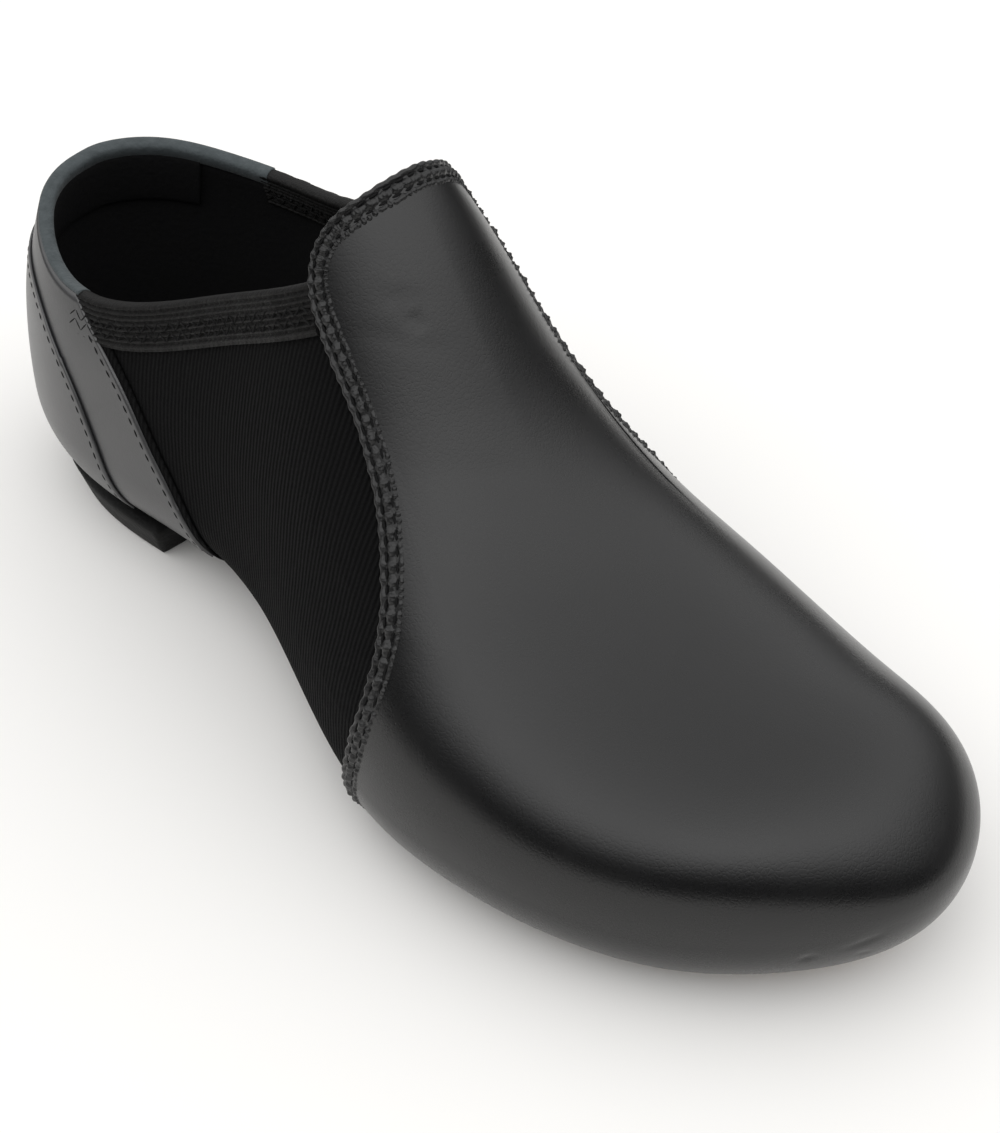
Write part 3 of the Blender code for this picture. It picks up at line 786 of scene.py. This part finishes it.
def track(value, keep, order, toward, step=0.0005):
    """A line on the last where a value on its grid is 0, with the directions out and beside it."""
    found = []
    for first, second in ((np.s_[:-1], np.s_[1:]), (np.s_[:, :-1], np.s_[:, 1:])):
        v1, v2 = value[first], value[second]
        passed = (v1 < 0) != (v2 < 0)
        part = (v1[passed] / (v1[passed] - v2[passed]))[:, None]
        found.append(grid_points[first][passed] * (1 - part) + grid_points[second][passed] * part)
    points = np.concatenate(found)
    points = points[keep(points)]
    points = points[np.argsort(order(points))]
    apart = np.linalg.norm(np.diff(points, axis=0), axis=1)
    points = points[np.concatenate([[True], apart > 1e-5])]
    for _ in range(2):
        points = smooth_run(points, 6)
        apart = np.linalg.norm(np.diff(points, axis=0), axis=1)
        lengths = np.concatenate([[0], np.cumsum(apart)])
        even = np.linspace(0, lengths[-1], int(lengths[-1] / step) + 1)
        points = np.stack([np.interp(even, lengths, points[:, i]) for i in range(3)], -1)
    points = smooth_run(points, 20)
    points, outs = feet(points)
    alongs = np.gradient(points, axis=0)
    alongs /= np.linalg.norm(alongs, axis=-1, keepdims=True)
    sides = np.cross(outs, alongs)
    sides /= np.linalg.norm(sides, axis=-1, keepdims=True)
    if (sides @ np.array(toward)).mean() < 0:
        sides = -sides
    return Track(even[:len(points)], points, outs, sides)


def at_length(line, rows, length):
    """Rows kept along a track, read at a length along it."""
    return np.stack([np.interp(length, line.lengths, rows[:, i]) for i in range(3)], -1)


def beside(line, length, away, height):
    """Points beside a track: at a length along it, away from it over the last, at a height."""
    length, away, height = np.broadcast_arrays(length, away, height)
    foot, out = feet(at_length(line, line.points, length)
                     + at_length(line, line.sides, length) * away[..., None])
    return foot + out * (height - drawn_in(foot))[..., None] + SHIFT


def rounded(rows):
    """A closed profile with its corners cut twice, as an array of away and height."""
    points = np.array(rows)
    for _ in range(2):
        following = np.roll(points, -1, axis=0)
        points = np.stack([0.75 * points + 0.25 * following, 0.25 * points + 0.75 * following], 1)
        points = points.reshape(-1, 2)
    return np.concatenate([points, points[:1]])


def tape(name, line, profile, columns, shape=None, start=0.0, stop=None):
    """A tape of a closed profile along a track, its ends closed."""
    stop = line.lengths[-1] if stop is None else stop
    middle = profile.mean(axis=0)

    def place(across, down):
        step = np.round(across * columns)
        length = start + (stop - start) * np.clip((step - 1) / (columns - 2), 0, 1)
        rank = down * (len(profile) - 1)
        away = np.interp(rank, np.arange(len(profile)), profile[:, 0])
        height = np.interp(rank, np.arange(len(profile)), profile[:, 1])
        if shape:
            away, height = shape(length, away, height)
        ends = (step == 0) | (step == columns)
        away = np.where(ends, middle[0], away)
        height = np.where(ends, middle[1], height)
        return beside(line, length, away, height)

    return sheet(name, columns, len(profile) - 1, place, merge=0.00003)


def uneven(length, seed):
    """A slow, irregular value of about -1 to 1 along a seam."""
    rank = length / STITCH_PITCH
    return (np.sin(rank * 1.7 + seed) + np.sin(rank * 2.9 + 2.1 * seed)
            + np.sin(rank * 0.61 + 3.3 * seed)) / 3


def hump(away, middle, width=0.0008):
    """A soft hump of 1 across a tape, round a place on it."""
    return np.exp(-((away - middle) / width) ** 2)


def band_shape(length, away, height):
    """The band's puckers: swellings between the stitches, pits at them, and an uneven edge."""
    rank = length / STITCH_PITCH * 2 * np.pi
    outer, between, inner = (hump(away, middle) for middle in (0.0022, 0.0040, 0.0060))
    rows = hump(away, BAND_ROWS[0], 0.0005) + hump(away, BAND_ROWS[1], 0.0005)
    swell = np.cos(rank + 0.8 * uneven(length, 1.0))
    over = height > 0.0012
    puckers = 0.00012 * outer * swell
    puckers += 0.00026 * between * np.cos(rank + 0.9 + 1.2 * uneven(length, 2.0))
    puckers += 0.00016 * inner * np.cos(2 * rank + uneven(length, 5.0))
    puckers += 0.00012 * (between + inner) * np.cos(2.6 * rank + 2.0 * uneven(length, 9.0))
    puckers -= 0.00022 * rows * (0.5 - 0.5 * swell)
    loose = 0.00014 * uneven(length, 7.0) * (outer + between)
    edge = 0.00010 * outer * swell + 0.00022 * outer * uneven(length * 0.6, 4.0)
    away = away - edge + 0.0002 * inner * uneven(length, 3.0)
    return away, height + np.where(over, puckers + loose, 0)


band_track = track(
    ahead_on_grid(vamp_line), lambda points: points[:, 2] > BAND_LOWEST,
    lambda points: np.arctan2(points[:, 1] - MIDLINE, points[:, 2] - INNER_HEIGHT), (1, 0, 0))


def dull(name, colour, roughness, shine, fine, relief, broad, tones, **fixed):
    """A dull surface: a fine noise raises it, and a broad one, or the same, tints it."""
    made = Surface(name, colour, roughness, Specular_IOR_Level=shine, **fixed)
    texture = made.noise(*fine)
    made.bump(texture, relief)
    made.tint(made.noise(*broad) if broad else texture, *tones)
    return made.material


def seam(name, line, runs, width=0.00055, height=0.00045):
    """Stitches, each a small drawn-in loop of thread between two places beside a track."""
    mesh = bmesh.new()
    runs = np.array(runs)
    first = beside(line, runs[:, 0], runs[:, 1], runs[:, 4])
    second = beside(line, runs[:, 2], runs[:, 3], runs[:, 4])
    for start, end, out in zip(first, second, at_length(line, line.outs, runs[:, 0])):
        along = Vector(end - start)
        cross = Vector(out).cross(along).normalized()
        over = along.normalized().cross(cross)
        columns = Matrix((cross * width / 2, over * height / 2, along / 2)).transposed().to_4x4()
        bmesh.ops.create_uvsphere(
            mesh, u_segments=8, v_segments=5, radius=1.0,
            matrix=Matrix.Translation(Vector(start + end) / 2) @ columns)
    bmesh.ops.recalc_face_normals(mesh, faces=mesh.faces)
    item = smooth_object(name, mesh, thread)
    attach(item, "root")
    return item


def row_of(line, away, height, start=0.0, seed=1.0):
    """The runs of a straight row of stitches beside a track."""
    begin = np.arange(start, line.lengths[-1] - STITCH_PITCH, STITCH_PITCH)
    slant = 0.00012 * uneven(begin, seed)
    return [(b, away + s, b + STITCH_PITCH * STITCH_SHARE, away - s, height)
            for b, s in zip(begin, slant)]


band = piece(
    tape("vamp_band", band_track, rounded(BAND_PROFILE), 1100, band_shape),
    smooth_leather("band_leather_black", grain=4.0, roughness=0.36))
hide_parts("vamp_edge")
thread = dull("black_thread", (0.004, 0.004, 0.004), 0.75, 0.2, (4000, 1), 0.00008, (700, 1),
              ((0.0018, 0.0018, 0.0019), (0.0055, 0.0055, 0.0058)))
band_seam = seam("vamp_band_stitches", band_track,
                 row_of(band_track, BAND_ROWS[0], BAND_STITCH_HEIGHT, seed=1.0)
                 + row_of(band_track, BAND_ROWS[1], BAND_STITCH_HEIGHT, start=0.0009, seed=2.0))


# Counter seams: one row of thread along the counter's turned front edges and one round the patch,
# with a narrow black knit binding sewn in, which shows ahead of each front edge.
SEAM_BELOW_COLLAR = 0.0036
SEAM_OVER_HEEL = 0.0006
counter_ahead = ahead_on_grid(counter_line)
collar_over = collar_height(grid_points[..., 0], side_at(grid_turns)[:, None]) - grid_points[..., 2]
collar_track = track(
    collar_over, lambda points: points[:, 0] < 0.50 * LENGTH,
    lambda points: np.arctan2(MIDLINE - points[:, 1], 0.2 * LENGTH - points[:, 0]), (0, 0, -1))
binding_rows = rounded((
    (-0.0012, 0.0003), (-0.0012, 0.0010), (0.0012, 0.0010), (0.0019, 0.0008), (0.0020, 0.0003)))
for side, word in ((-1, "near"), (1, "far")):
    def on_side(points, side=side):
        under = points[:, 2] < collar_height(points[:, 0], side) - SEAM_BELOW_COLLAR
        over = points[:, 2] > HEEL_LEVEL + SEAM_OVER_HEEL
        return (side * (points[:, 1] - MIDLINE) > 0) & under & over

    front = track(counter_ahead, on_side, lambda points: points[:, 2], (1, 0, 0))
    strip = piece(tape("counter_binding_" + word, front, binding_rows, 260), black_knit())
    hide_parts("upper")
    sewn = seam("counter_stitches_" + word, front, row_of(front, -0.0016, 0.00142, start=0.001))
patch_track = track(
    ahead_on_grid(patch_line), lambda points: points[:, 2] > HEEL_LEVEL + SEAM_OVER_HEEL,
    lambda points: np.arctan2(points[:, 1] - MIDLINE, points[:, 2] - 0.012), (-1, 0, 0))
patch_seam = seam("patch_stitches", patch_track, row_of(patch_track, 0.0016, 0.00202, start=0.001))


# Elastic bands: woven elastic folded over the top of the knit on both sides, with fine lengthwise
# ribs, held by a zigzag seam.
ELASTIC_RIB = 0.00105
ZIGZAG_STEP = 0.0017
elastic_rows = np.concatenate([
    np.stack([np.linspace(0.0082, 0.0004, 40), np.full(40, 0.0012)], -1),
    [(-0.0003, 0.0011), (-0.0007, 0.0004), (-0.0007, -0.0006), (-0.0003, -0.0014)],
    np.stack([np.linspace(0.0004, 0.0082, 40), np.full(40, -0.0016)], -1),
    [(0.0086, -0.0014), (0.0084, -0.0008), (0.0060, -0.0004), (0.0060, 0.0003),
     (0.0086, 0.0004), (0.0086, 0.0010)]])
elastic_rows = np.concatenate([elastic_rows, elastic_rows[:1]])


def elastic_shape(length, away, height):
    ribs = 0.00030 * np.cos(2 * np.pi * (away - 0.0004) / ELASTIC_RIB)
    weave = 0.00006 * np.sin(2 * np.pi * length / 0.0018 + np.pi * np.round(away / ELASTIC_RIB))
    slack = 0.00015 * uneven(length, 6.0)
    shown = (height > 0.0011) | (height < -0.0015)
    lift = np.where(shown, ribs + weave, 0.0)
    return away, np.where(height > 0, height + lift + slack, height - lift + 0.2 * slack)


elastic = dull("black_elastic", (0.012, 0.011, 0.011), 0.6, 0.25,
               (2300, 2, 0.5, (1, 1, 0.35)), 0.00022, None,
               ((0.0016, 0.0015, 0.0015), (0.0070, 0.0065, 0.0060)))
collar_back = ahead_of(counter_line, collar_track.points)
collar_front = ahead_of(vamp_line, collar_track.points)
for side, word in ((-1, "near"), (1, "far")):
    on_side = side * (collar_track.points[:, 1] - MIDLINE) > 0
    reach = collar_track.lengths[on_side & (collar_back > -0.0015) & (collar_front < 0.0022)]
    strip = piece(
        tape("elastic_band_" + word, collar_track, elastic_rows, 240,
             elastic_shape, reach.min(), reach.max()), elastic)
    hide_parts("elastic_" + word)
    zigs = []
    for face in (0.00145, -0.00185):
        for low, high in ((0.0031, 0.0049), (0.0049, 0.0068)):
            begin = np.arange(reach.min() + 0.001, reach.max() - 0.002, ZIGZAG_STEP)
            for i, b in enumerate(begin):
                ends = (low, high) if i % 2 else (high, low)
                zigs.append((b, ends[0], b + ZIGZAG_STEP, ends[1], face))
    sewn = seam("elastic_zigzag_" + word, collar_track, zigs, width=0.00035, height=0.0003)


# Counter rim and heel grip: a soft fabric edge in a dark grey green, folded over the counter's top
# and cemented, and a padded grip in lining fabric inside the back of the heel.
GRIP_SHARE = 0.085
rim_fabric = dull("rim_fabric", (0.020, 0.032, 0.034), 0.8, 0.3, (1500, 3), 0.0002, (500, 3),
                  ((0.030, 0.038, 0.041), (0.085, 0.099, 0.104)), Sheen_Weight=0.1)
rim_rows = rounded((
    (0.0003, 0.0012), (-0.0002, 0.0015), (-0.0008, 0.0012), (-0.0009, 0.0002), (-0.0007, -0.0012),
    (0.0002, -0.0018), (0.0024, -0.0017), (0.0024, -0.0011), (0.0010, -0.0004), (0.0008, 0.0008)))
on_counter = collar_track.lengths[collar_back < 0.0006]
rim = piece(
    tape("counter_rim", collar_track, rim_rows, 420, None, on_counter.min(), on_counter.max()),
    rim_fabric)
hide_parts("upper")

grip_rows = rounded((
    (0.0016, -0.0010), (0.0016, -0.0019), (0.0080, -0.0024), (0.0145, -0.0022),
    (0.0155, -0.0016), (0.0150, -0.0009)))
on_heel = collar_track.lengths[collar_track.points[:, 0] < GRIP_SHARE * LENGTH]
grip = piece(
    tape("heel_grip", collar_track, grip_rows, 160, None, on_heel.min(), on_heel.max()),
    black_lining())
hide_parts("upper")


# Padded sock: a thin foam along the inside, covered in black fabric and cemented down.
# It lies on the lining from heel to toe.
INSOLE_THICKNESS = 0.0030
SOCK_EDGE = 1.62
SOCK_ROUNDING = 0.0012
sock_level = WALL + GAP + 0.0001


def sock_place(across, down):
    turn = across * 2.0
    middle = on_last(turn, 3.0)
    rise = np.clip(down * 2, 0, 1)
    over = np.clip(down * 2 - 1, 0, 1)
    low = laid(turn, 3.0 - (3.0 - SOCK_EDGE) * rise, np.full_like(turn, -sock_level)) - SHIFT
    edge = laid(turn, SOCK_EDGE, np.full_like(turn, -sock_level)) - SHIFT
    top = edge + (middle - edge) * over[..., None]
    shoulder = sock_level + INSOLE_THICKNESS - SOCK_ROUNDING
    top[..., 2] = (underside(top[..., 0]) + shoulder
                   + SOCK_ROUNDING * np.sqrt(np.clip(1 - (1 - over) ** 4, 0, 1)))
    low[..., 2] = np.minimum(low[..., 2], underside(low[..., 0]) + shoulder)
    return np.where(down[..., None] <= 0.5, low, top) + SHIFT


sock_fabric = dull("sock_fabric", (0.010, 0.010, 0.011), 0.9, 0.2, (1400, 2), 0.0002, None,
                   ((0.007, 0.007, 0.0075), (0.014, 0.014, 0.015)), Sheen_Weight=0.08)
sock = piece(sheet("padded_sock", 240, 48, sock_place), sock_fabric)
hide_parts("insole")


# Forefoot pad: a thin pad of tan suede split, cemented under the ball and the toes, its edge
# rounded by wear.
PAD_INSET = 0.0090
PAD_BACK_SHARE = 0.585
# Sole profiles are rows of a share of the outline's size and a depth under the top.
PAD_PROFILE = np.array((
    (0.0, 0.0), (0.4, 0.0), (0.72, 0.0), (0.985, 0.0), (1.0, 0.0003), (1.003, 0.0012),
    (0.997, 0.0021), (0.980, 0.0025), (0.72, 0.0025), (0.4, 0.0025), (0.0, 0.0025)))


def inset_outline(inset, back, front, steps):
    """The outline in plan, drawn in by an inset between two shares of the length."""
    turns = np.linspace(0, 2, 801)[:-1]
    loop = on_last(turns, 1.0)[..., :2]
    ahead = np.roll(loop, -3, axis=0) - np.roll(loop, 3, axis=0)
    ahead /= np.maximum(np.linalg.norm(ahead, axis=1), 1e-9)[:, None]
    loop = loop + inset * np.column_stack([-ahead[:, 1], ahead[:, 0]])
    kept = loop[(loop[:, 0] >= back * LENGTH) & (loop[:, 0] <= front * LENGTH)]
    out = kept - kept.mean(axis=0)
    kept = kept[np.argsort(np.arctan2(out[:, 1], out[:, 0]))]
    kept = np.concatenate([kept, kept[:1]])
    lengths = np.concatenate([[0.0], np.cumsum(np.linalg.norm(np.diff(kept, axis=0), axis=1))])
    even = np.linspace(0, lengths[-1], steps + 1)
    return np.column_stack([np.interp(even, lengths, kept[:, i]) for i in (0, 1)])


def sole_piece(name, outline, profile, level, columns):
    """A sole piece from its outline in plan and a profile from its top's middle to its bottom's."""
    middle = outline[:-1].mean(axis=0)
    ranks = np.arange(len(profile))

    def place(across, down):
        rank = down * (len(profile) - 1)
        grow = np.interp(rank, ranks, profile[:, 0])
        depth = np.interp(rank, ranks, profile[:, 1])
        spot = across * (len(outline) - 1)
        ring = np.stack([np.interp(spot, np.arange(len(outline)), outline[:, i])
                         for i in (0, 1)], -1)
        flat = middle + (ring - middle) * grow[..., None]
        return np.concatenate([flat, (level(flat[..., 0]) - depth)[..., None]], -1) + SHIFT

    return sheet(name, columns, len(profile) - 1, place, merge=0.00002)


def tan_suede():
    made = Surface("tan_suede", (0.30, 0.205, 0.125), 0.95,
                   Specular_IOR_Level=0.15, Sheen_Weight=0.15)
    nap = made.noise(1100, 4, 0.6)
    made.bump(nap, 0.0004)
    worn = made.noise(90, 4) * 0.6 + nap * 0.4
    made.tint(worn, (0.20, 0.135, 0.085), (0.38, 0.27, 0.175))
    return made.material


pad = piece(
    sole_piece("forefoot_pad", inset_outline(PAD_INSET, PAD_BACK_SHARE, 1.0, 160), PAD_PROFILE,
               lambda x: underside(x) - GAP, 160), tan_suede())
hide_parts("forefoot_sole")


# Heel block: a moulded block of black rubber cemented under the counter, a little smaller at the
# floor.
HEEL_INSET = 0.0030
HEEL_FRONT_SHARE = 0.242
HEEL_PROFILE = np.array((
    (0.0, 0.0), (0.9, 0.0), (0.99, 0.0), (1.0, 0.0004), (0.975, 0.0026), (0.95, 0.0050),
    (0.926, 0.0072), (0.905, 0.0080), (0.6, 0.0080), (0.0, 0.0080)))
black_rubber = dull("black_rubber", (0.005, 0.005, 0.005), 0.65, 0.25, (900, 3), 0.00025, (200, 3),
                    ((0.0035, 0.0035, 0.0035), (0.0075, 0.0075, 0.0072)))
heel = piece(
    sole_piece("heel_block", inset_outline(HEEL_INSET, 0.0, HEEL_FRONT_SHARE, 140), HEEL_PROFILE,
               lambda x: np.full_like(x, HEEL_BLOCK_HEIGHT), 140), black_rubber)
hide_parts("heel")


# Studio: a plain pale floor under one wide soft light from above and behind, with the side towards
# the camera left dark.
FLOOR_RADIUS = 0.62
FADE_START = 0.34
FADE_END = 0.60


def pale_floor():
    made = Surface("pale_floor", (0.89, 0.88, 0.862), 0.9, Specular_IOR_Level=0.0)
    made.tint(made.noise(3, 2), (0.885, 0.875, 0.857), (0.895, 0.885, 0.867))
    far = made.add("ShaderNodeVectorMath", {"operation": "LENGTH"}, output=1, i0=made.place)
    fade = made.add("ShaderNodeMapRange", {"interpolation_type": "SMOOTHSTEP"},
                    i0=far, i1=FADE_START, i2=FADE_END)
    clear = made.add("ShaderNodeBsdfTransparent")
    shown = Wire(made.tree, made.shader.outputs[0])
    mixed = made.add("ShaderNodeMixShader", i0=fade, i1=shown, i2=clear)
    made.tree.links.new(mixed.socket, made.tree.nodes["Material Output"].inputs["Surface"])
    return made.material


floor_mesh = bmesh.new()
bmesh.ops.create_circle(floor_mesh, cap_ends=True, segments=96, radius=FLOOR_RADIUS)
floor = smooth_object("studio_floor", floor_mesh, pale_floor())
floor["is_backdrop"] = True

AZIMUTH, ELEVATION, ROLL = (math.radians(angle) for angle in (-44.0911, 41.0741, -0.102))
STUDIO_LEAN = 0.2
STUDIO_RISE = 0.98
CAMERA_SIDE_GAIN = 0.42
STUDIO_STRENGTH = 1.60
STUDIO_GLOW = ((0.11, 0.015), (0.20, 0.10), (0.30, 0.30), (0.40, 0.62), (0.50, 0.92), (0.65, 1.0),
               (1.0, 0.80))
toward_camera = np.array([math.cos(AZIMUTH), math.sin(AZIMUTH), 0.0])
world = bpy.data.worlds.new("studio")
bpy.context.scene.world = world
world.use_nodes = True
studio = Nodes(world.node_tree)
direction = studio.add("ShaderNodeTexCoord")
overhead = studio.add("ShaderNodeVectorMath", {"operation": "DOT_PRODUCT"}, output=1, i0=direction,
                      i1=tuple(-STUDIO_LEAN * toward_camera + (0, 0, STUDIO_RISE)))
glow = studio.add("ShaderNodeValToRGB", {"stops": [(at, [value] * 3) for at, value in STUDIO_GLOW]},
                  i0=overhead)
front = studio.add("ShaderNodeVectorMath", {"operation": "DOT_PRODUCT"}, output=1, i0=direction,
                   i1=tuple(CAMERA_SIDE_GAIN * toward_camera))
lit = studio.add("ShaderNodeVectorMath", {"operation": "SCALE"}, i0=glow, Scale=front + 1.0)
light = studio.add("ShaderNodeBackground", i0=lit, Strength=STUDIO_STRENGTH)
backdrop = studio.add("ShaderNodeBackground", i0=(0.930, 0.921, 0.905, 1))
seen = studio.add("ShaderNodeLightPath")
either = studio.add("ShaderNodeMixShader", i0=seen, i1=light, i2=backdrop)
studio.tree.links.new(either.socket, studio.tree.nodes["World Output"].inputs["Surface"])

# The camera: a short telephoto seen down onto the toe from its near side.
DISTANCE = 0.370638
AIM = np.array([0.125983, 0.005737, 0.023555]) + SHIFT
SENSOR_WIDTH = 36
LENS_SHARE = 1937.812 / 1133
back = math.cos(ELEVATION) * toward_camera + (0, 0, math.sin(ELEVATION))
right = np.array([-math.sin(AZIMUTH), math.cos(AZIMUTH), 0.0])
up = np.cross(back, right)
right, up = (right * math.cos(ROLL) + up * math.sin(ROLL),
             up * math.cos(ROLL) - right * math.sin(ROLL))
camera_data = bpy.data.cameras.new("camera")
camera_data.sensor_width = SENSOR_WIDTH
camera_data.lens = LENS_SHARE * SENSOR_WIDTH
camera = bpy.data.objects.new("camera", camera_data)
camera.matrix_world = Matrix.Translation(Vector(AIM + back * DISTANCE)) @ Matrix(
    (right, up, back)).transposed().to_4x4()
bpy.context.collection.objects.link(camera)
bpy.context.scene.camera = camera
bpy.context.scene.view_settings.view_transform = "Standard"

low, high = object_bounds()
